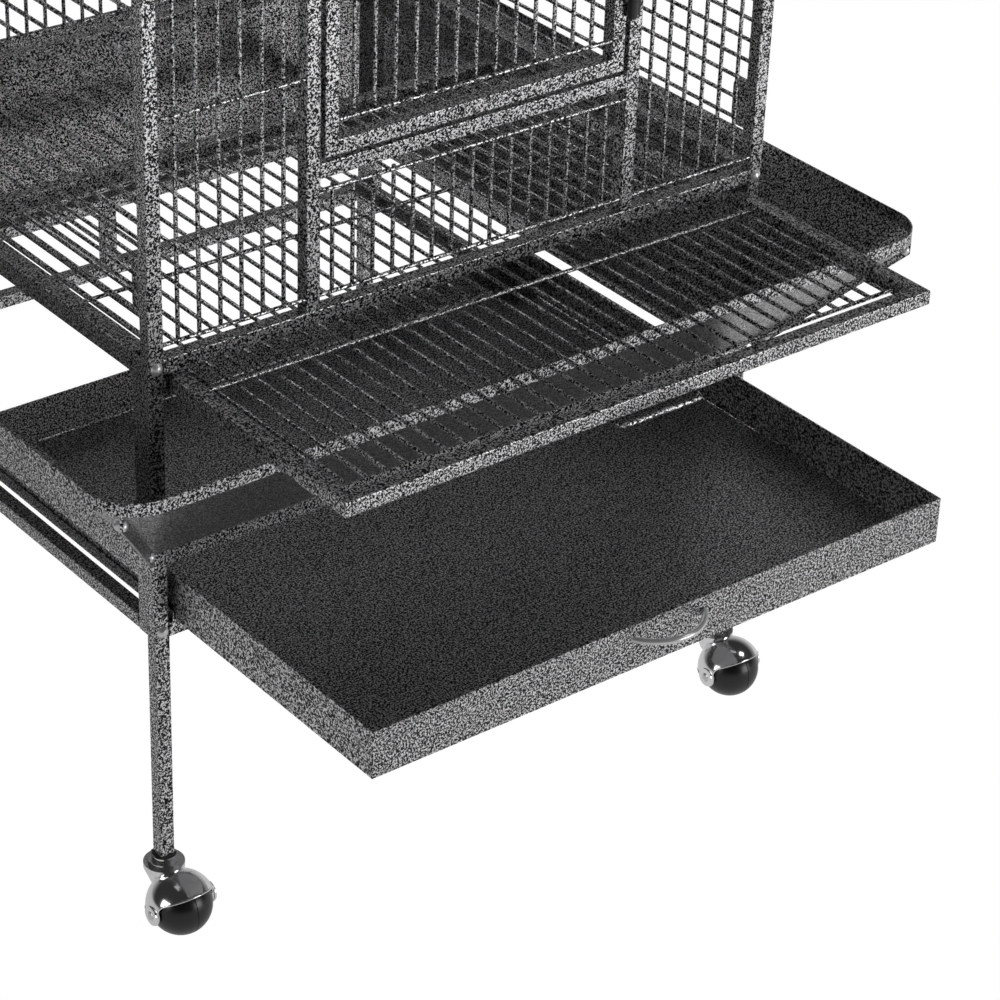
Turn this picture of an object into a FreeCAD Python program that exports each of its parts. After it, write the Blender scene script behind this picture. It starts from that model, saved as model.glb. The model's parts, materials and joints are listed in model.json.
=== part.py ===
"""Parrot cage on a castered stand, with pulled-out tray and grate.

Millimetres, +X to the right, +Y to the rear, +Z up. The origin is on the floor
under the centre of the stand. Each node is written to parts/NODE.step.
"""
import math
import os

import FreeCAD
import Part

# Stand and tubes
cage_width = 605.7
cage_depth = 554.7
cage_height = 954.0
post_depth = 25.4
post_corner = 2.5
tube_size = 12.7
tube_wall = 1.2
tube_corner = 1.0
plug_gap = 0.1
leg_insert = 60.0
stile_insert = 40.0
leg_foot = 64.0
lower_rail_z = 272.8

# Tray
rest_gap = 0.3
tray_height = 41.0
tray_depth = 553.5
tray_wall = 1.5
tray_bend = 1.5
tray_side_gap = 1.0
tray_pull = 247.0
tray_runner_gap = 3.15
tray_runner_sheet = 1.2
tray_runner_ledge = 14.0
tray_runner_height = 9.8
tray_handle_span = 71.0
tray_handle_shift = -3.5
tray_handle_reach = 20.0
tray_handle_wire = 5.2
tray_handle_rise = 27.5

# Stack of rails, guard and grate over the tray
upper_rail_gap = 13.0
guard_rise = 135.0
grate_over_rim = 13.5
base_rail_gap = 2.8

# Seed guards
guard_sheet = 1.2
guard_root_height = 12.0
guard_side_drop = 18.0
guard_lip_height = 11.0
guard_reach_side = 99.15
guard_reach_front = 109.15
guard_root_radius = 2.0
guard_rim_radius = 40.0
guard_flange = 10.0
guard_bolt = 4.0
guard_bolt_head = 8.0
guard_bolt_head_height = 2.6
guard_nut_width = 7.0
guard_nut_height = 3.2
nut_sides = 6
bolt_tail = 1.5
bolt_clearance = 0.2
thread_gap = 0.05
upper_bolt_share = 0.94
lower_bolt_share = 0.09

# Frame bolts
frame_bolt = 5.0
frame_bolt_head = 10.5
frame_bolt_head_height = 3.2
frame_bolt_length = 7.0

# Grate
grate_depth = 557.7
grate_side_gap = 5.65
grate_pull = 221.0
grate_bar_pitch = 17.5
grate_border = 8.0
grate_cross_step = 172.0
grate_handle_wire = 4.0
grate_handle_span = 80.0
grate_handle_reach = 10.0
grate_handle_hold = 9.0
grate_handle_bend = 6.0
runner_sheet = 1.5
runner_ledge = 18.0
runner_height = 13.0

# Bars
bar_size = 3.4
bar_pitch = 19.05
side_bar_pitch = 18.3
side_bar_shift = 1.5
cross_step = 181.4
cross_border = 10.8
weld_gap = 0.05
bar_overrun = 1.5
end_wire_shift = 6.0

# Door
jamb_centre = 155.0
sill_rise = 109.3
door_height = 507.0
door_gap = 3.0
door_side_gap = 4.15
door_border = 15.0
hinge_barrel = 8.0
hinge_pin = 5.0
hinge_fit = 0.05
hinge_gap = 0.3
hinge_foot = 14.0
hinge_knuckle = 26.0
hinge_inset = 47.0
hinge_tab = 6.0
latch_rod = 6.0
latch_fit = 0.08
latch_length = 40.0
latch_block = 9.0
latch_block_height = 16.0
latch_inset = 1.0
latch_lever = 22.0
latch_lever_back = 4.0

# Hook plates
hook_rise = 31.3
hook_length = 40.0
hook_width = 19.0
hook_sheet = 2.5
hook_corner = 6.0

# Casters
ball_size = 52.0
ball_bore_gap = 0.1
ball_groove = 0.5
caster_trail = 24.0
hood_gap = 1.3
hood_sheet = 1.6
hood_tilt = 30.0
hood_lift = 6.0
hood_notch = 8.0
ear_radius = 8.5
ear_sheet = 1.9
axle_size = 5.0
axle_fit = 0.05
axle_head = 8.4
axle_head_height = 1.6
swivel_gap = 0.3
swivel_ring = 34.0
swivel_ring_height = 4.7
swivel_step = 27.0
swivel_step_height = 3.5
swivel_hub = 20.0
swivel_hub_height = 4.0
bowl_foot = 23.0
bowl_height = 14.0
stem_seat = 1.0
stem_size = 8.0
stem_fit = 0.05
stem_head = 12.4
stem_head_height = 2.0
stem_insert = 24.0
plug_flange = 15.0
plug_flange_height = 1.5

# Derived places
half_w = cage_width / 2
half_d = cage_depth / 2
half_tube = tube_size / 2
half_bar = bar_size / 2
tube_bore = tube_size - 2 * tube_wall
spigot_size = tube_bore - 2 * plug_gap
post_x = half_w - half_tube
post_y = half_d - half_tube
rail_end_x = half_w - tube_size
rail_end_y = half_d - post_depth
lower_rail_top = lower_rail_z + tube_size
tray_runner_x = rail_end_x - tray_runner_gap
tray_z = lower_rail_top + tray_runner_sheet + rest_gap
tray_top = tray_z + tray_height
upper_rail_z = tray_top + upper_rail_gap
guard_rim_z = upper_rail_z + guard_rise
grate_z = guard_rim_z + grate_over_rim
grate_top = grate_z + tube_size
base_rail_z = grate_top + base_rail_gap
base_top = base_rail_z + tube_size
cage_top = base_rail_z + cage_height
top_rail_z = cage_top - tube_size
stile_face_x = post_x - half_tube
stile_face_y = post_y - half_tube
front_face = post_y + half_tube
tray_half = tray_runner_x - tray_runner_sheet - tray_side_gap
tray_rear = half_d - tube_size - rest_gap - tray_pull
tray_front = tray_rear - tray_depth
grate_half = rail_end_x - grate_side_gap
grate_rear = grate_depth / 2 - grate_pull
grate_front = grate_rear - grate_depth
sill_z = base_top + sill_rise
sill_top = sill_z + tube_size
door_z = sill_top + door_gap
door_top = door_z + door_height
head_z = door_top + door_gap
jamb_face = jamb_centre - half_tube
jamb_back = jamb_centre + half_tube
door_half = jamb_face - door_side_gap
side_bar_x = post_x + side_bar_shift
cross_shift = bar_size + weld_gap
butt_gap = half_bar + weld_gap
ball_radius = ball_size / 2
corners = [("front_left", -1, -1), ("front_right", 1, -1), ("rear_left", -1, 1), ("rear_right", 1, 1)]

UP = FreeCAD.Vector(0, 0, 1)
RIGHT = FreeCAD.Vector(1, 0, 0)
REAR = FreeCAD.Vector(0, 1, 0)


def at(x, y, z):
    return FreeCAD.Vector(x, y, z)


def save(node, shape):
    shape.exportStep("parts/" + node + ".step")


def group(shapes):
    return Part.makeCompound(shapes)


def block(x0, x1, y0, y1, z0, z1):
    low = at(min(x0, x1), min(y0, y1), min(z0, z1))
    return Part.makeBox(abs(x1 - x0), abs(y1 - y0), abs(z1 - z0), low)


def rod(start, end, size):
    along = end - start
    return Part.makeCylinder(size / 2, along.Length, start, along)


def square_bar(axis, start, end, first, second, size):
    """Square bar along an axis; first and second are its centre on the other axes."""
    half = size / 2
    if axis == "x":
        return block(start, end, first - half, first + half, second - half, second + half)
    if axis == "y":
        return block(first - half, first + half, start, end, second - half, second + half)
    return block(first - half, first + half, second - half, second + half, start, end)


def soften(bar, along, radius):
    """Round the long corners of a straight bar."""
    slants = [abs(edge.tangentAt(edge.FirstParameter).dot(along)) for edge in bar.Edges]
    long_edges = [edge for edge, slant in zip(bar.Edges, slants) if math.isclose(slant, 1)]
    return bar.makeFillet(radius, long_edges)


def square_tube(axis, start, end, first, second):
    along = {"x": RIGHT, "y": REAR, "z": UP}[axis]
    bore = square_bar(axis, start, end, first, second, tube_bore)
    return soften(square_bar(axis, start, end, first, second, tube_size), along, tube_corner).cut(bore)


def plugged_tube(start, shoulder, tip, x, y):
    """Upright square tube closed at its shoulder, with a narrower hollow plug on to the tip."""
    cap = math.copysign(tube_wall, shoulder - start)
    body = soften(square_bar("z", start, shoulder, x, y, tube_size), UP, tube_corner)
    body = body.cut(square_bar("z", start, shoulder - cap, x, y, tube_bore))
    plug = square_bar("z", shoulder - cap, tip, x, y, spigot_size)
    plug = plug.cut(square_bar("z", shoulder, tip, x, y, spigot_size - 2 * tube_wall))
    return body.fuse(plug).removeSplitter()


def prism(plane, points, low, high):
    """Polygon in the xy or xz plane, drawn out along the third axis."""
    if plane == "xy":
        corner_points = [at(u, v, low) for u, v in points]
        along = at(0, 0, high - low)
    else:
        corner_points = [at(u, low, v) for u, v in points]
        along = at(0, high - low, 0)
    outline = Part.makePolygon(corner_points + corner_points[:1])
    return Part.Face(outline).extrude(along)


def mitred_frame(plane, u0, u1, v0, v1, low):
    """Four square tubes mitred at the corners."""
    def ring(inset):
        return [
            (u0 + inset, v0 + inset),
            (u1 - inset, v0 + inset),
            (u1 - inset, v1 - inset),
            (u0 + inset, v1 - inset),
        ]

    outer = ring(0)
    inner = ring(tube_size)
    deep = tube_size - tube_wall
    bores = [
        [(u0, v0 + tube_wall), (u1, v0 + tube_wall), (u1, v0 + deep), (u0, v0 + deep)],
        [(u1 - tube_wall, v0), (u1 - tube_wall, v1), (u1 - deep, v1), (u1 - deep, v0)],
        [(u1, v1 - tube_wall), (u0, v1 - tube_wall), (u0, v1 - deep), (u1, v1 - deep)],
        [(u0 + tube_wall, v1), (u0 + tube_wall, v0), (u0 + deep, v0), (u0 + deep, v1)],
    ]
    sideways = REAR if plane == "xy" else UP
    tubes = []
    for i, bore_points in enumerate(bores):
        j = (i + 1) % len(outer)
        along = sideways if i % 2 else RIGHT
        bar = prism(plane, [outer[i], outer[j], inner[j], inner[i]], low, low + tube_size)
        bore = prism(plane, bore_points, low + tube_wall, low + deep)
        tubes.append(soften(bar, along, tube_corner).cut(bore))
    return group(tubes)


def pattern(low, high, pitch):
    """Evenly pitched places, centred between two faces."""
    count = round((high - low) / pitch) - 1
    first = (low + high - pitch * (count - 1)) / 2
    return [first + pitch * i for i in range(count)]


def spaced(low, high, step):
    """Places from low to high, both included, about a step apart."""
    count = max(1, round((high - low) / step))
    return [low + (high - low) * i / count for i in range(count + 1)]


def upright_grille(x0, x1, z0, z1, y, y_cross, border, step):
    """Upright bars welded behind level cross wires that end on the tubes."""
    levels = spaced(z0 + border, z1 - border, step)
    low = levels[0] - bar_overrun
    high = levels[-1] + bar_overrun
    wires = [rod(at(x, y, low), at(x, y, high), bar_size) for x in pattern(x0, x1, bar_pitch)]
    wires += [rod(at(x0, y_cross, z), at(x1, y_cross, z), bar_size) for z in levels]
    return group(wires)


def flat_grille(places, x0, x1, y0, y1, z, border, step):
    """Long bars between two end wires at their own level, under the cross wires."""
    lines = spaced(y0 + border, y1 - border, step)
    first = lines[0] + end_wire_shift
    last = lines[-1] - end_wire_shift
    wires = [rod(at(x, first + butt_gap, z), at(x, last - butt_gap, z), bar_size) for x in places]
    wires += [rod(at(x0, y, z), at(x1, y, z), bar_size) for y in (first, last)]
    z_cross = z + cross_shift
    wires += [rod(at(x0, y, z_cross), at(x1, y, z_cross), bar_size) for y in lines[1:-1]]
    return group(wires)


def dome(base, outward, size, height):
    """Low dome standing on a flat face."""
    radius = (size * size / 4 + height * height) / (2 * height)
    rim_latitude = math.degrees(math.asin((radius - height) / radius))
    centre = base + outward * (height - radius)
    return Part.makeSphere(radius, centre, outward, rim_latitude, 90, 360)


def dome_bolt(base, outward, size, head, head_height, length):
    shank = Part.makeCylinder(size / 2, length, base, outward * -1)
    return dome(base, outward, head, head_height).fuse(shank)


# Stand

def frame_bolt_places(sy):
    """Levels of the bolts in one post, on its front or rear face."""
    return [
        (lower_rail_z + half_tube, at(0, sy, 0)),
        (base_rail_z + half_tube, at(0, sy, 0)),
    ]


def bolt_holes(sx, sy):
    holes = []
    for z, outward in frame_bolt_places(sy):
        base = at(sx * post_x, sy * half_d, z)
        hole_size = frame_bolt + 2 * bolt_clearance
        holes.append(Part.makeCylinder(hole_size / 2, frame_bolt_length + bolt_tail, base, outward * -1))
    return group(holes)


def build_stand():
    stiles = []
    bolts = []
    for name, sx, sy in corners:
        x = sx * post_x
        y = sy * post_y
        holes = bolt_holes(sx, sy)
        half_bore = tube_bore / 2
        post = block(x - half_tube, x + half_tube, sy * half_d, sy * rail_end_y, lower_rail_z, base_top)
        bore = block(x - half_bore, x + half_bore, sy * (half_d - tube_wall), sy * (rail_end_y + tube_wall),
                     lower_rail_z, base_top)
        save("stand_post_" + name, soften(post, UP, post_corner).cut(bore).cut(holes))
        leg = plugged_tube(leg_foot, lower_rail_z, lower_rail_z + leg_insert, x, y)
        save("leg_" + name, leg.cut(holes))
        stiles.append(plugged_tube(top_rail_z, base_top, base_top - stile_insert, x, y).cut(holes))
        for z, outward in frame_bolt_places(sy):
            base = at(x, sy * half_d, z)
            bolts.append(dome_bolt(base, outward, frame_bolt, frame_bolt_head,
                                   frame_bolt_head_height, frame_bolt_length))
    save("corner_stiles", group(stiles))
    save("frame_bolts", group(bolts))
    save("lower_rails", rail_ring(lower_rail_z))
    save("upper_rails", rail_ring(upper_rail_z))
    save("base_rails", rail_ring(base_rail_z))
    save("tray_stop", square_tube("z", lower_rail_top, upper_rail_z, 0, post_y))


def rail_ring(low):
    """Front, rear, left and right rails that butt on the posts."""
    rails = []
    for side in (-1, 1):
        rails.append(square_tube("x", -rail_end_x, rail_end_x, side * post_y, low + half_tube))
        rails.append(square_tube("y", -rail_end_y, rail_end_y, side * post_x, low + half_tube))
    return group(rails)


def angle_runners(x, ledge_low, sheet, ledge_width, height):
    """Two angles along the sides, with their walls outside and their ledges inside."""
    runners = []
    for s in (-1, 1):
        ledge = block(s * x, s * (x - ledge_width), -half_d, half_d, ledge_low, ledge_low + sheet)
        wall = block(s * x, s * (x - sheet), -half_d, half_d, ledge_low, ledge_low + height)
        runners.append(ledge.fuse(wall).removeSplitter())
    return group(runners)


# Seed guards

diagonal = math.sqrt(0.5)
slope_low = upper_rail_z + guard_root_height
slope_high = guard_rim_z - guard_lip_height


def guard_outline(half_length, reach_out, radius, z):
    """Thin strip along the front side, ended at both corners' diagonals."""
    centre_x = half_length - radius
    centre_y = -(reach_out - radius)
    outer = radius + guard_sheet

    def corner_arc(side, size):
        centre = at(side * centre_x, centre_y, z)
        end = centre + at(side * diagonal, -diagonal, 0) * size
        half_way = math.radians(67.5)
        middle = centre + at(side * math.cos(half_way), -math.sin(half_way), 0) * size
        start = centre + at(0, -size, 0)
        return start, middle, end

    left_in = corner_arc(-1, radius)
    left_out = corner_arc(-1, outer)
    right_in = corner_arc(1, radius)
    right_out = corner_arc(1, outer)
    edges = [
        Part.Arc(left_out[2], left_out[1], left_out[0]).toShape(),
        Part.makeLine(left_out[0], right_out[0]),
        Part.Arc(right_out[0], right_out[1], right_out[2]).toShape(),
        Part.makeLine(right_out[2], right_in[2]),
        Part.Arc(right_in[2], right_in[1], right_in[0]).toShape(),
        Part.makeLine(right_in[0], left_in[0]),
        Part.Arc(left_in[0], left_in[1], left_in[2]).toShape(),
        Part.makeLine(left_in[2], left_out[2]),
    ]
    return Part.Wire(edges)


def guard_seam(sx, sy, half_length, half_reach, rim_length, rim_reach):
    """Seam between two panels at a corner: its ends and its three directions."""
    outward = at(sx * diagonal, sy * diagonal, 0)
    root = at(sx * (half_length - guard_root_radius), sy * (half_reach - guard_root_radius), slope_low)
    rim = at(sx * (rim_length - guard_rim_radius), sy * (rim_reach - guard_rim_radius), slope_high)
    root = root + outward * (guard_root_radius + guard_sheet)
    rim = rim + outward * (guard_rim_radius + guard_sheet)
    along = (rim - root).normalize()
    down = (outward - along * outward.dot(along)).normalize()
    across = along.cross(outward).normalize()
    if across.y * sy < 0:
        across = across * -1
    return root, rim, along, down, across, outward


def seam_bolt_places(root, rim, along, down):
    length = (rim - root).Length
    return [root + along * (length * share) + down * (guard_flange / 2)
            for share in (upper_bolt_share, lower_bolt_share)]


def guard_panel(half_length, half_reach, rim_length, rim_reach, root_low):
    """Panel on the front side; the other sides are turned copies of this form."""
    low = guard_outline(half_length, half_reach, guard_root_radius, root_low)
    bend = guard_outline(half_length, half_reach, guard_root_radius, slope_low)
    rim = guard_outline(rim_length, rim_reach, guard_rim_radius, slope_high)
    panel = Part.Face(low).extrude(UP * (slope_low - root_low))
    panel = panel.fuse(Part.makeLoft([bend, rim], True, True))
    panel = panel.fuse(Part.Face(rim).extrude(UP * guard_lip_height))
    holes = []
    for side in (-1, 1):
        seam = guard_seam(side, -1, half_length, half_reach, rim_length, rim_reach)
        start, end, along, down, across, outward = seam
        inset = outward * (guard_sheet / 2)
        back = guard_flange * down.dot(outward) / along.dot(outward)
        under_rim = end + down * guard_flange - along * back
        points = [start - inset, end - inset, end, under_rim, start + down * guard_flange]
        flange = Part.Face(Part.makePolygon(points + points[:1])).extrude(across * guard_sheet)
        panel = panel.fuse(flange)
        for place in seam_bolt_places(start, end, along, down):
            hole_size = guard_bolt + 2 * bolt_clearance
            holes.append(rod(place - across * guard_sheet, place + across * (2 * guard_sheet), hole_size))
    return panel.cut(group(holes)).removeSplitter()


def build_guards():
    rim_x = half_w + guard_reach_side - guard_sheet
    rim_y = half_d + guard_reach_front - guard_sheet
    ends = guard_panel(half_w, half_d, rim_x, rim_y, upper_rail_z)
    sides = guard_panel(half_d, half_w, rim_y, rim_x, upper_rail_z - guard_side_drop)
    panels = [("front", ends, 0), ("right", sides, 90), ("rear", ends, 180), ("left", sides, 270)]
    for name, panel, turn in panels:
        turned = panel.copy()
        turned.rotate(at(0, 0, 0), UP, turn)
        save("seed_guard_" + name, turned)
    bolts = []
    nuts = []
    for name, sx, sy in corners:
        start, end, along, down, across, outward = guard_seam(sx, sy, half_w, half_d, rim_x, rim_y)
        for place in seam_bolt_places(start, end, along, down):
            length = 2 * guard_sheet + guard_nut_height + bolt_tail
            base = place + across * guard_sheet
            bolts.append(dome_bolt(base, across, guard_bolt, guard_bolt_head,
                                   guard_bolt_head_height, length))
            seat = place - across * guard_sheet
            nuts.append(hex_nut(seat, across * -1, down))
    save("guard_bolts", group(bolts))
    save("guard_nuts", group(nuts))


def hex_nut(seat, outward, flat):
    """Six-sided nut standing on a seat, one flat square to the given direction."""
    radius = guard_nut_width / 2 / math.cos(math.pi / nut_sides)
    sideways = outward.cross(flat)
    points = []
    for i in range(nut_sides):
        turn = 2 * math.pi * i / nut_sides
        points.append(seat + sideways * (radius * math.cos(turn)) + flat * (radius * math.sin(turn)))
    body = Part.Face(Part.makePolygon(points + points[:1])).extrude(outward * guard_nut_height)
    bore_size = guard_bolt + 2 * thread_gap
    return body.cut(rod(seat - outward, seat + outward * (guard_nut_height + bolt_tail), bore_size))


# Tray and grate

def build_tray():
    outer = block(-tray_half, tray_half, tray_front, tray_rear, tray_z, tray_top)
    inside = tray_half - tray_wall
    floor_z = tray_z + tray_wall
    inner = block(-inside, inside, tray_front + tray_wall, tray_rear - tray_wall, floor_z, tray_top)
    folds = [e for e in inner.Edges if abs(e.BoundBox.ZMax - floor_z) < plug_gap]
    save("tray_pan", outer.cut(inner.makeFillet(tray_bend, folds)))
    save("tray_runners", angle_runners(tray_runner_x, lower_rail_top, tray_runner_sheet,
                                       tray_runner_ledge, tray_runner_height))
    chord = tray_handle_span / 2
    radius = (chord * chord + tray_handle_reach * tray_handle_reach) / (2 * tray_handle_reach)
    centre = at(tray_handle_shift, tray_front - tray_handle_reach + radius, tray_z + tray_handle_rise)
    bow = Part.makeTorus(radius, tray_handle_wire / 2, centre, UP)
    span = radius + tray_handle_wire
    front_room = block(centre.x - span, centre.x + span, tray_front, tray_front - span, tray_z, tray_top)
    save("tray_handle", bow.common(front_room))


def build_grate():
    frame = mitred_frame("xy", -grate_half, grate_half, grate_front, grate_rear, grate_z)
    save("grate_frame", frame)
    inside = grate_half - tube_size
    half_pitch = grate_bar_pitch / 2
    places = pattern(-inside - half_pitch, inside + half_pitch, grate_bar_pitch)
    bars = flat_grille(places, -inside, inside, grate_front + tube_size, grate_rear - tube_size,
                       grate_z + half_tube, grate_border, grate_cross_step)
    save("grate_bars", bars)
    side = grate_handle_span / 2
    z = grate_z - grate_handle_wire / 2
    back = grate_front + grate_handle_hold
    front = grate_front - grate_handle_reach + grate_handle_wire / 2
    bend = grate_handle_bend
    cut = bend * (1 - diagonal)
    path = Part.Wire([
        Part.makeLine(at(-side, back, z), at(-side, front + bend, z)),
        Part.Arc(at(-side, front + bend, z), at(-side + cut, front + cut, z),
                 at(-side + bend, front, z)).toShape(),
        Part.makeLine(at(-side + bend, front, z), at(side - bend, front, z)),
        Part.Arc(at(side - bend, front, z), at(side - cut, front + cut, z),
                 at(side, front + bend, z)).toShape(),
        Part.makeLine(at(side, front + bend, z), at(side, back, z)),
    ])
    section = Part.Wire([Part.makeCircle(grate_handle_wire / 2, at(-side, back, z), REAR)])
    save("grate_handle", path.makePipeShell([section], True, False))
    ledge_low = grate_z - rest_gap - runner_sheet
    save("grate_runners", angle_runners(rail_end_x, ledge_low, runner_sheet, runner_ledge, runner_height))


# Cage body

def build_cage():
    jambs = [square_tube("z", base_top, top_rail_z, s * jamb_centre, -post_y) for s in (-1, 1)]
    sills = [square_tube("x", -jamb_face, jamb_face, -post_y, z + half_tube) for z in (sill_z, head_z)]
    save("front_frame", group(jambs + sills))
    half_top = post_x + half_tube
    save("top_rails", mitred_frame("xy", -half_top, half_top, -front_face, front_face, top_rail_z))
    y_cross = -post_y - cross_shift
    bays = [
        ("front_bars_left", -stile_face_x, -jamb_back, base_top, top_rail_z),
        ("front_bars_right", jamb_back, stile_face_x, base_top, top_rail_z),
        ("front_bars_below_door", -jamb_face, jamb_face, base_top, sill_z),
        ("front_bars_above_door", -jamb_face, jamb_face, head_z + tube_size, top_rail_z),
    ]
    for node, x0, x1, z0, z1 in bays:
        save(node, upright_grille(x0, x1, z0, z1, -post_y, y_cross, cross_border, cross_step))
    save("rear_bars", upright_grille(-stile_face_x, stile_face_x, base_top, top_rail_z,
                                     post_y, -y_cross, cross_border, cross_step))
    places = pattern(-stile_face_x, stile_face_x, bar_pitch)
    save("roof_bars", flat_grille(places, -stile_face_x, stile_face_x, -stile_face_y, stile_face_y,
                                  top_rail_z + half_tube, cross_border, cross_step))
    for node, s in (("side_bars_left", -1), ("side_bars_right", 1)):
        levels = pattern(base_top, top_rail_z, side_bar_pitch)
        x = s * side_bar_x
        save(node, group([rod(at(x, -stile_face_y, z), at(x, stile_face_y, z), bar_size) for z in levels]))
    plates = []
    for name, sx, sy in corners:
        face = side_bar_x - half_bar - plug_gap
        z = base_top + hook_rise
        plate = block(sx * face, sx * (face - hook_sheet), sy * stile_face_y,
                      sy * (stile_face_y - hook_width), z, z + hook_length)
        free_edge = sy * (stile_face_y - hook_width)
        ends = [e for e in plate.Edges if abs(e.CenterOfMass.x - sx * (face - hook_sheet / 2)) < plug_gap
                and abs(e.CenterOfMass.y - free_edge) < plug_gap]
        plates.append(plate.makeFillet(hook_corner, ends))
    save("panel_hooks", group(plates))


# Door

def build_door():
    y = -post_y
    save("door_frame", mitred_frame("xz", -door_half, door_half, door_z, door_top, -front_face))
    inside = door_half - tube_size
    save("door_bars", upright_grille(-inside, inside, door_z + tube_size, door_top - tube_size,
                                     y, y - cross_shift, door_border, cross_step))
    axis_x = (door_half + jamb_face) / 2
    axis_y = -front_face - hinge_barrel / 2 - hinge_gap
    pins = []
    knuckles = []
    for z in (door_z + hinge_inset, door_top - hinge_inset - hinge_foot - hinge_knuckle):
        foot_top = z + hinge_foot
        knuckle_low = foot_top + hinge_gap
        knuckle_top = knuckle_low + hinge_knuckle
        foot = rod(at(axis_x, axis_y, z), at(axis_x, axis_y, foot_top), hinge_barrel)
        foot = foot.fuse(block(axis_x, jamb_face + hinge_tab, axis_y, -front_face, z, foot_top))
        pins.append(foot.fuse(rod(at(axis_x, axis_y, z), at(axis_x, axis_y, knuckle_top), hinge_pin)))
        sleeve = rod(at(axis_x, axis_y, knuckle_low), at(axis_x, axis_y, knuckle_top), hinge_barrel)
        sleeve = sleeve.fuse(block(axis_x, door_half - hinge_tab, axis_y, -front_face, knuckle_low, knuckle_top))
        bore_size = hinge_pin + 2 * hinge_fit
        bore = rod(at(axis_x, axis_y, knuckle_low), at(axis_x, axis_y, knuckle_top), bore_size)
        knuckles.append(sleeve.cut(bore))
    save("hinge_pins", group(pins))
    save("hinge_knuckles", group(knuckles))
    build_latch()


def build_latch():
    z = (door_z + door_top) / 2
    y = -front_face - latch_block / 2
    low = z - latch_block_height / 2
    high = z + latch_block_height / 2
    guide_left = -door_half + latch_inset
    guide_right = -door_half + tube_size
    bore_size = latch_rod + 2 * latch_fit
    guide = block(guide_left, guide_right, -front_face - latch_block, -front_face, low, high)
    guide = guide.cut(rod(at(guide_left, y, z), at(guide_right, y, z), bore_size))
    save("latch_guide", guide)
    keeper_left = -jamb_back + latch_inset
    keeper_right = -jamb_face - latch_inset
    keeper = block(keeper_left, keeper_right, -front_face - latch_block, -front_face, low, high)
    keeper = keeper.cut(rod(at(keeper_left, y, z), at(keeper_right, y, z), bore_size))
    save("latch_keeper", keeper)
    tip = guide_left + latch_inset
    tail = tip + latch_length
    lever_x = tail - latch_rod / 2 - latch_lever_back
    bolt = rod(at(tip, y, z), at(tail, y, z), latch_rod)
    lever = rod(at(lever_x, y, z), at(lever_x, y - latch_lever, z), latch_rod)
    save("latch_bolt", bolt.fuse(lever))


# Casters

def hood_region(centre):
    """Space that the hood covers: above a tilted rim that runs down in a curve to each ear."""
    def place(u, v):
        return centre + at(-ball_size, u, v)

    notch_z = hood_lift - hood_notch
    notch_y = math.sqrt((ear_radius + hood_notch) ** 2 - notch_z ** 2)
    slope = math.atan2(notch_z, notch_y)
    bend = (slope + math.pi / 2) / 2 + math.pi / 2
    touch = ear_radius / (ear_radius + hood_notch)
    middle_y = notch_y + hood_notch * math.cos(bend)
    middle_z = notch_z + hood_notch * math.sin(bend)
    right_notch = Part.Arc(place(notch_y, hood_lift), place(middle_y, middle_z),
                           place(touch * notch_y, touch * notch_z))
    ear = Part.Arc(place(touch * notch_y, touch * notch_z), place(0, -ear_radius),
                   place(-touch * notch_y, touch * notch_z))
    left_notch = Part.Arc(place(-touch * notch_y, touch * notch_z), place(-middle_y, middle_z),
                          place(-notch_y, hood_lift))
    top = [
        place(-notch_y, hood_lift),
        place(-ball_size, hood_lift),
        place(-ball_size, ball_size),
        place(ball_size, ball_size),
        place(ball_size, hood_lift),
        place(notch_y, hood_lift),
    ]
    edges = [curve.toShape() for curve in (right_notch, ear, left_notch)]
    edges += Part.makePolygon(top).Edges
    region = Part.Face(Part.Wire(Part.__sortEdges__(edges))).extrude(RIGHT * (2 * ball_size))
    region.rotate(centre, RIGHT, -hood_tilt)
    return region


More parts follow.
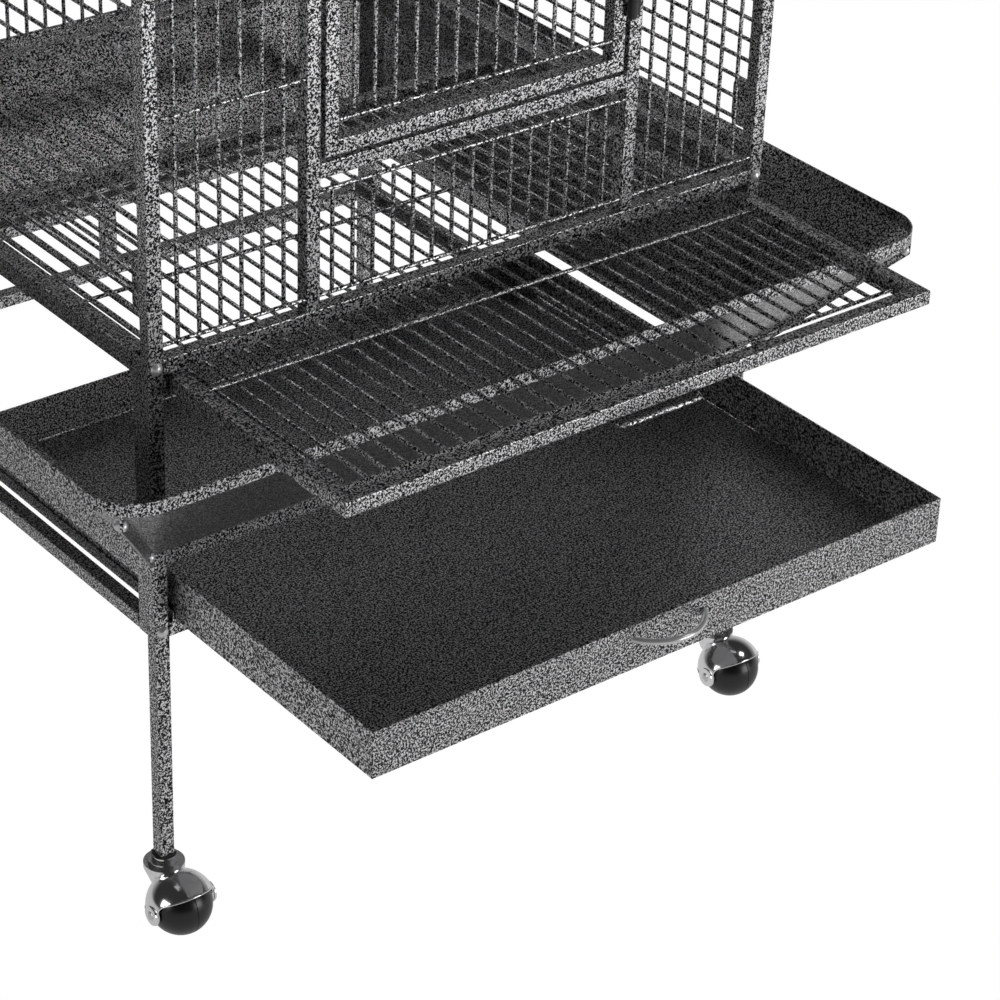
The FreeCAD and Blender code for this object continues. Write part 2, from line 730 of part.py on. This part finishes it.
def build_casters():
    plugs = []
    stems = []
    flange_low = leg_foot - plug_flange_height
    hub_top = flange_low - swivel_gap
    hub_low = hub_top - swivel_hub_height
    step_low = hub_low - swivel_step_height
    ring_low = step_low - swivel_ring_height
    bowl_low = ring_low - bowl_height
    seat = ring_low - stem_seat
    head_top = seat - swivel_gap
    head_low = head_top - stem_head_height
    stem_top = leg_foot + stem_insert
    hood_inner = ball_radius + hood_gap
    hood_outer = hood_inner + hood_sheet
    ear_out = hood_inner + ear_sheet
    for name, sx, sy in corners:
        x = sx * post_x
        y = sy * post_y
        plug = square_bar("z", flange_low, leg_foot, x, y, plug_flange)
        plug = plug.fuse(square_bar("z", leg_foot, stem_top, x, y, spigot_size))
        plugs.append(plug.cut(rod(at(x, y, flange_low), at(x, y, stem_top), stem_size + 2 * stem_fit)))
        stem = rod(at(x, y, head_low), at(x, y, stem_top), stem_size)
        stems.append(stem.fuse(rod(at(x, y, head_low), at(x, y, head_top), stem_head)))
        centre = at(x, y - caster_trail, ball_radius)
        room = Part.makeSphere(hood_inner, centre)
        hood = Part.makeSphere(hood_outer, centre).common(hood_region(centre))
        for s in (-1, 1):
            inner_end = centre + RIGHT * (s * hood_inner)
            hood = hood.fuse(rod(inner_end, centre + RIGHT * (s * ear_out), 2 * ear_radius))
        hood = hood.fuse(Part.makeCone(bowl_foot / 2, swivel_ring / 2, bowl_height, at(x, y, bowl_low)))
        hood = hood.fuse(rod(at(x, y, ring_low), at(x, y, step_low), swivel_ring))
        hood = hood.fuse(rod(at(x, y, step_low), at(x, y, hub_low), swivel_step))
        hood = hood.fuse(rod(at(x, y, hub_low), at(x, y, hub_top), swivel_hub))
        hood = hood.cut(room)
        hood = hood.cut(rod(at(x, y, seat), at(x, y, hub_top), stem_size + 2 * stem_fit))
        hood = hood.cut(rod(at(x, y, bowl_low), at(x, y, seat), stem_head + 2 * swivel_gap))
        axle_hole = axle_size + 2 * axle_fit
        hood = hood.cut(rod(centre - RIGHT * ball_size, centre + RIGHT * ball_size, axle_hole))
        save("caster_hood_" + name, hood.removeSplitter())
        axle = rod(centre - RIGHT * ear_out, centre + RIGHT * ear_out, axle_size)
        for s in (-1, 1):
            axle = axle.fuse(dome(centre + RIGHT * (s * ear_out), RIGHT * s, axle_head, axle_head_height))
        save("caster_axle_" + name, axle)
        ball = Part.makeSphere(ball_radius, centre)
        ball = ball.cut(rod(centre - RIGHT * ball_size, centre + RIGHT * ball_size, axle_size + 2 * ball_bore_gap))
        save("caster_ball_" + name, ball.cut(Part.makeTorus(ball_radius, ball_groove, centre, RIGHT)))
    save("leg_plugs", group(plugs))
    save("caster_stems", group(stems))


os.makedirs("parts", exist_ok=True)
build_stand()
build_guards()
build_tray()
build_grate()
build_cage()
build_door()
build_casters()
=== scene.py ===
"""Looks of the parrot cage: hammered powder coat, chrome, nickel, zinc and black plastic.

Metres, +X to the right seen from the door, +Y to the rear, +Z up, floor at z = 0.
"""
import json
import math

import bpy
import bmesh
from mathutils import Matrix, Vector


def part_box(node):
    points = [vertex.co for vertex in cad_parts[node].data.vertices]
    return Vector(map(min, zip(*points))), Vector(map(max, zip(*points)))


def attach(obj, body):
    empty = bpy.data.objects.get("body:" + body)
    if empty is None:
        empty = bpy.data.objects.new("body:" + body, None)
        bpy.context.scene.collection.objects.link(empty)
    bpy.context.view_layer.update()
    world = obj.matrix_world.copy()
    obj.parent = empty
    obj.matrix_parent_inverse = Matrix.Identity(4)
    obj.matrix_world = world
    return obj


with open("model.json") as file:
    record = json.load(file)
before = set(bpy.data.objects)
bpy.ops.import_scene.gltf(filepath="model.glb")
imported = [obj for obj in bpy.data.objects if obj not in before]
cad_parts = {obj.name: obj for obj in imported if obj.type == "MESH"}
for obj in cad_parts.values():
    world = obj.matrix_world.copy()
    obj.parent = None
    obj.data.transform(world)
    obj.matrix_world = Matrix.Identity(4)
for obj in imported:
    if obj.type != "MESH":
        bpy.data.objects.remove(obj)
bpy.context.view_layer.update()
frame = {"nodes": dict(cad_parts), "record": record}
nodes = frame["nodes"]

# Camera of the photograph
camera_azimuth = math.radians(39.126)
camera_elevation = math.radians(31.055)
camera_roll = math.radians(2.186)
camera_offset = Vector((-0.20759, -0.13636, 3.06132))
focal_pixels = 3318.5
image_pixels = 1000.0
sensor_width = 36.0

# Casters and the rolled rim of their hoods
caster_corners = ("front_left", "front_right", "rear_left", "rear_right")
hood_reach = 0.0287
hood_tilt = math.radians(30.0)
hood_lift = 0.006
hood_notch = 0.008
ear_radius = 0.0085
bead_radius = 0.0009
bead_steps = 8
bead_roundness = 2

# Hammered powder coat
coat_black = (0.005, 0.005, 0.006)
coat_silver = (0.84, 0.84, 0.85)
coat_roughness = 0.33
coat_gloss = 0.15
vein_scale = 690.0
vein_detail = 1.0
vein_roughness = 0.5
vein_twist = 0.5
vein_edges = (0.49, 0.565)
vein_metal = 0.9
hammer_strength = 0.45
hammer_depth = 0.0005

# Plated pieces
plate_colour = (0.9, 0.9, 0.91)
plate_shade = 0.85
plate_edges = (0.3, 0.7)
plate_detail = 3.0
plate_bump = 0.15
grain_roughness = 0.6

# Black plastic
plastic_shade = 0.6
plastic_edges = (0.35, 0.65)
plastic_detail = 4.0
plastic_bump = 0.1
plastic_depth = 0.0001

# Floor: its colour, and what the camera and shiny pieces see of it
floor_reach = 20.0
floor_roughness = 0.9
floor_colour = 0.4
floor_glow = 0.92
floor_white = 1.08
lit_side = (0.63, -0.776, 0.0)
lit_span = (-1.5, 1.5)
mirrored_floor = (0.34, 0.85)

# Backdrop: dark along one direction, grey away from it
dark_axis = (-0.361, -0.445, 0.819)
dark_range = (-0.6, 0.1)
backdrop_level = 0.5
dark_level = 0.03
ambient_level = 0.6


def new_material(name):
    """A material, its node tree and its surface shader."""
    material = bpy.data.materials.new(name)
    material.use_nodes = True
    tree = material.node_tree
    return material, tree, tree.nodes["Principled BSDF"]


def add_node(tree, kind, **settings):
    node = tree.nodes.new(kind)
    for name, value in settings.items():
        setattr(node, name, value)
    return node


def object_place(tree):
    return add_node(tree, "ShaderNodeTexCoord").outputs["Object"]


def add_noise(tree, scale, detail, roughness, distortion=0.0):
    noise = add_node(tree, "ShaderNodeTexNoise")
    noise.inputs["Scale"].default_value = scale
    noise.inputs["Detail"].default_value = detail
    noise.inputs["Roughness"].default_value = roughness
    noise.inputs["Distortion"].default_value = distortion
    tree.links.new(object_place(tree), noise.inputs["Vector"])
    return noise.outputs["Fac"]


def add_ramp(tree, source, edges, tones):
    """Colour ramp between two tones."""
    ramp = add_node(tree, "ShaderNodeValToRGB")
    for element, edge, tone in zip(ramp.color_ramp.elements, edges, tones):
        element.position = edge
        element.color = (*tone, 1.0)
    tree.links.new(source, ramp.inputs["Fac"])
    return ramp.outputs["Color"]


def add_bump(tree, shader, height, strength, distance):
    bump = add_node(tree, "ShaderNodeBump")
    bump.inputs["Strength"].default_value = strength
    bump.inputs["Distance"].default_value = distance
    tree.links.new(height, bump.inputs["Height"])
    tree.links.new(bump.outputs["Normal"], shader.inputs["Normal"])


def grey(level):
    return (level, level, level)


def shaded(colour, share):
    return [share * c for c in colour]


def hammered_coat(name):
    """Black powder coat broken by fine silver veins."""
    material, tree, shader = new_material(name)
    veins = add_noise(tree, vein_scale, vein_detail, vein_roughness, vein_twist)
    colour = add_ramp(tree, veins, vein_edges, (coat_black, coat_silver))
    tree.links.new(colour, shader.inputs["Base Color"])
    flake = add_ramp(tree, veins, vein_edges, (grey(0.0), grey(vein_metal)))
    tree.links.new(flake, shader.inputs["Metallic"])
    shader.inputs["Roughness"].default_value = coat_roughness
    shader.inputs["Specular IOR Level"].default_value = coat_gloss
    add_bump(tree, shader, veins, hammer_strength, hammer_depth)
    return material


def bright_plate(name, roughness, grain_scale, grain_depth, metal):
    """Plated metal with a faint drawn grain."""
    material, tree, shader = new_material(name)
    grain = add_noise(tree, grain_scale, plate_detail, grain_roughness)
    tone = add_ramp(tree, grain, plate_edges, (shaded(plate_colour, plate_shade), plate_colour))
    tree.links.new(tone, shader.inputs["Base Color"])
    shader.inputs["Metallic"].default_value = metal
    shader.inputs["Roughness"].default_value = roughness
    add_bump(tree, shader, grain, plate_bump, grain_depth)
    return material


def black_plastic(name, colour, roughness, grain_scale):
    """Moulded black plastic with a fine skin."""
    material, tree, shader = new_material(name)
    grain = add_noise(tree, grain_scale, plastic_detail, grain_roughness)
    tone = add_ramp(tree, grain, plastic_edges, (shaded(colour, plastic_shade), colour))
    tree.links.new(tone, shader.inputs["Base Color"])
    shader.inputs["Roughness"].default_value = roughness
    add_bump(tree, shader, grain, plastic_bump, plastic_depth)
    return material


own_finish = {"tray_handle": "pull"}
finishes = {
    "powder_coat": hammered_coat("hammered_powder_coat"),
    "chrome": bright_plate(
        "bright_chrome", roughness=0.14, grain_scale=900.0, grain_depth=0.00002, metal=1.0),
    "pull": bright_plate(
        "nickel_pull", roughness=0.2, grain_scale=900.0, grain_depth=0.00002, metal=0.45),
    "zinc": bright_plate(
        "bright_zinc", roughness=0.35, grain_scale=1400.0, grain_depth=0.00005, metal=0.6),
    "ball": black_plastic(
        "gloss_black_ball", (0.012, 0.012, 0.013), roughness=0.3, grain_scale=500.0),
    "plug": black_plastic(
        "matt_black_plug", (0.02, 0.02, 0.02), roughness=0.5, grain_scale=800.0),
    "black_fittings": black_plastic(
        "black_enamel", (0.016, 0.016, 0.017), roughness=0.3, grain_scale=700.0),
}


def finish_nodes():
    """Give every solid the finish of its material slot, or its own."""
    for part in frame["record"]["subparts"]:
        node = nodes[part["node"]]
        node.data.materials.clear()
        node.data.materials.append(finishes[own_finish.get(part["node"], part["material_slot"])])


def arc(middle, radius, start, end):
    """Places along a round stretch, both ends included."""
    turns = [start + (end - start) * i / bead_steps for i in range(bead_steps + 1)]
    return [(middle[0] + radius * math.cos(t), middle[1] + radius * math.sin(t)) for t in turns]


def hood_rim():
    """A quarter of the hood's edge, from under the ear to the middle of the rim, as level and height."""
    notch_height = hood_lift - hood_notch
    notch_level = math.sqrt((ear_radius + hood_notch) ** 2 - notch_height ** 2)
    slope = math.atan2(notch_height, notch_level)
    ear = arc((0.0, 0.0), ear_radius, -math.pi / 2, slope)
    notch = arc((notch_level, notch_height), hood_notch, slope + math.pi, math.pi / 2)
    rim_radius = math.sqrt(hood_reach ** 2 - hood_lift ** 2)
    rim = arc((0.0, 0.0), rim_radius, math.acos(notch_level / rim_radius), 0.0)
    return ear[:-1] + notch[:-1] + [(level, hood_lift) for level, _ in rim]


def add_hood_bead(name):
    """Rolled edge of one caster hood, which turns with the hood."""
    low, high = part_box("caster_ball_" + name)
    centre = (low + high) / 2
    out = hood_rim()
    back = out[::-1]
    turn = Matrix.Rotation(-hood_tilt, 3, "X")
    places = []
    for side, way, quarter in ((1, 1, out), (-1, 1, back), (-1, -1, out), (1, -1, back)):
        for level, height in quarter[:-1]:
            across = math.sqrt(max(0.0, hood_reach ** 2 - level ** 2 - height ** 2))
            places.append(centre + turn @ Vector((side * across, way * level, height)))
    curve = bpy.data.curves.new("hood_bead_" + name, "CURVE")
    curve.dimensions = "3D"
    curve.bevel_depth = bead_radius
    curve.bevel_resolution = bead_roundness
    spline = curve.splines.new("POLY")
    spline.points.add(len(places) - 1)
    for point, place in zip(spline.points, places):
        point.co = (*place, 1.0)
    spline.use_cyclic_u = True
    curve.materials.append(finishes["chrome"])
    bead = bpy.data.objects.new(curve.name, curve)
    bpy.context.scene.collection.objects.link(bead)
    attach(bead, "caster_" + name)


def floor_material():
    """White to the camera, graded in reflections, and a soft grey ground for the shadow."""
    material, tree, shader = new_material("white_floor")
    shader.inputs["Base Color"].default_value = (*grey(floor_colour), 1.0)
    shader.inputs["Roughness"].default_value = floor_roughness
    shader.inputs["Specular IOR Level"].default_value = 0.0
    glow = add_node(tree, "ShaderNodeEmission")
    seen = add_node(tree, "ShaderNodeLightPath")
    side = add_node(tree, "ShaderNodeVectorMath", operation="DOT_PRODUCT")
    side.inputs[1].default_value = lit_side
    tree.links.new(object_place(tree), side.inputs[0])
    mirrored = add_node(tree, "ShaderNodeMapRange")
    mirrored.inputs["From Min"].default_value = lit_span[0]
    mirrored.inputs["From Max"].default_value = lit_span[1]
    mirrored.inputs["To Min"].default_value = mirrored_floor[0]
    mirrored.inputs["To Max"].default_value = mirrored_floor[1]
    tree.links.new(side.outputs["Value"], mirrored.inputs["Value"])
    level = add_node(tree, "ShaderNodeMapRange")
    level.inputs["To Max"].default_value = floor_white
    tree.links.new(seen.outputs["Is Camera Ray"], level.inputs["Value"])
    tree.links.new(mirrored.outputs["Result"], level.inputs["To Min"])
    tree.links.new(level.outputs["Result"], glow.inputs["Strength"])
    either = add_node(tree, "ShaderNodeMath", operation="MAXIMUM")
    tree.links.new(seen.outputs["Is Camera Ray"], either.inputs[0])
    tree.links.new(seen.outputs["Is Glossy Ray"], either.inputs[1])
    share = add_node(tree, "ShaderNodeMath", operation="MULTIPLY")
    share.inputs[1].default_value = floor_glow
    tree.links.new(either.outputs["Value"], share.inputs[0])
    mix = add_node(tree, "ShaderNodeMixShader")
    tree.links.new(share.outputs["Value"], mix.inputs["Fac"])
    tree.links.new(shader.outputs["BSDF"], mix.inputs[1])
    tree.links.new(glow.outputs["Emission"], mix.inputs[2])
    tree.links.new(mix.outputs["Shader"], tree.nodes["Material Output"].inputs["Surface"])
    return material


def add_floor():
    """Wide white floor that keeps a soft shadow."""
    mesh = bpy.data.meshes.new("floor")
    shape = bmesh.new()
    bmesh.ops.create_grid(shape, x_segments=1, y_segments=1, size=floor_reach)
    shape.to_mesh(mesh)
    shape.free()
    mesh.materials.append(floor_material())
    floor = bpy.data.objects.new("floor", mesh)
    bpy.context.scene.collection.objects.link(floor)


def add_world():
    """Grey backdrop, dark overhead and behind the camera, pure white where the camera sees it."""
    world = bpy.data.worlds.new("studio")
    bpy.context.scene.world = world
    world.use_nodes = True
    tree = world.node_tree
    background = tree.nodes["Background"]
    background.inputs["Color"].default_value = (*grey(1.0), 1.0)
    along = add_node(tree, "ShaderNodeVectorMath", operation="DOT_PRODUCT")
    along.inputs[1].default_value = dark_axis
    tree.links.new(add_node(tree, "ShaderNodeTexCoord").outputs["Generated"], along.inputs[0])
    fade = add_node(tree, "ShaderNodeMapRange", interpolation_type="SMOOTHSTEP")
    fade.inputs["From Min"].default_value = dark_range[0]
    fade.inputs["From Max"].default_value = dark_range[1]
    fade.inputs["To Min"].default_value = backdrop_level
    fade.inputs["To Max"].default_value = dark_level
    tree.links.new(along.outputs["Value"], fade.inputs["Value"])
    seen = add_node(tree, "ShaderNodeLightPath")
    mirrored = add_node(tree, "ShaderNodeMath", operation="MAXIMUM")
    tree.links.new(seen.outputs["Is Glossy Ray"], mirrored.inputs[0])
    tree.links.new(seen.outputs["Is Transmission Ray"], mirrored.inputs[1])
    level = add_node(tree, "ShaderNodeMapRange")
    level.inputs["To Min"].default_value = ambient_level
    level.inputs["To Max"].default_value = 1.0
    tree.links.new(mirrored.outputs["Value"], level.inputs["Value"])
    lit = add_node(tree, "ShaderNodeMath", operation="MULTIPLY")
    tree.links.new(level.outputs["Result"], lit.inputs[0])
    tree.links.new(fade.outputs["Result"], lit.inputs[1])
    strength = add_node(tree, "ShaderNodeMath", operation="MAXIMUM")
    tree.links.new(lit.outputs["Value"], strength.inputs[0])
    tree.links.new(seen.outputs["Is Camera Ray"], strength.inputs[1])
    tree.links.new(strength.outputs["Value"], background.inputs["Strength"])


def add_softbox(name, place, target, width, height, power):
    light = bpy.data.lights.new(name, "AREA")
    light.shape = "RECTANGLE"
    light.size = width
    light.size_y = height
    light.energy = power
    lamp = bpy.data.objects.new(name, light)
    lamp.location = place
    aim = Vector(target) - Vector(place)
    lamp.rotation_euler = aim.to_track_quat("-Z", "Y").to_euler()
    bpy.context.scene.collection.objects.link(lamp)


def add_lamps():
    """Large softboxes at the front and the left, and small ones behind and above for the shiny pieces."""
    add_softbox(
        "front_softbox", (1.9, -3.5, 0.8), target=(0.0, 0.0, 0.5), width=1.8, height=1.4, power=45.0)
    add_softbox(
        "left_softbox", (-3.8, -0.4, 1.2), target=(0.0, 0.0, 0.5), width=1.8, height=1.4, power=25.0)
    add_softbox(
        "rear_softbox", (-0.2, 2.8, 3.3), target=(0.0, 0.0, 0.4), width=0.8, height=0.6, power=15.0)
    add_softbox(
        "top_softbox", (1.9, -1.5, 2.9), target=(0.0, -0.6, 0.3), width=0.7, height=0.7, power=7.0)


def add_camera():
    """Camera of the photograph, turned and rolled as it was held."""
    ahead = Vector((
        math.sin(camera_azimuth) * math.cos(camera_elevation),
        math.cos(camera_azimuth) * math.cos(camera_elevation),
        -math.sin(camera_elevation),
    ))
    level_right = Vector((math.cos(camera_azimuth), -math.sin(camera_azimuth), 0.0))
    level_up = level_right.cross(ahead)
    right = math.cos(camera_roll) * level_right + math.sin(camera_roll) * level_up
    up = math.cos(camera_roll) * level_up - math.sin(camera_roll) * level_right
    place = -(right * camera_offset.x + up * camera_offset.y + ahead * camera_offset.z)
    camera = bpy.data.cameras.new("photo_camera")
    camera.sensor_width = sensor_width
    camera.lens = focal_pixels * sensor_width / image_pixels
    holder = bpy.data.objects.new("photo_camera", camera)
    turn = Matrix((right, up, -ahead)).transposed().to_4x4()
    holder.matrix_world = Matrix.Translation(place) @ turn
    bpy.context.scene.collection.objects.link(holder)
    bpy.context.scene.camera = holder


finish_nodes()
for corner in caster_corners:
    add_hood_bead(corner)
add_floor()
add_world()
add_lamps()
add_camera()
bpy.context.scene.view_settings.view_transform = "Standard"
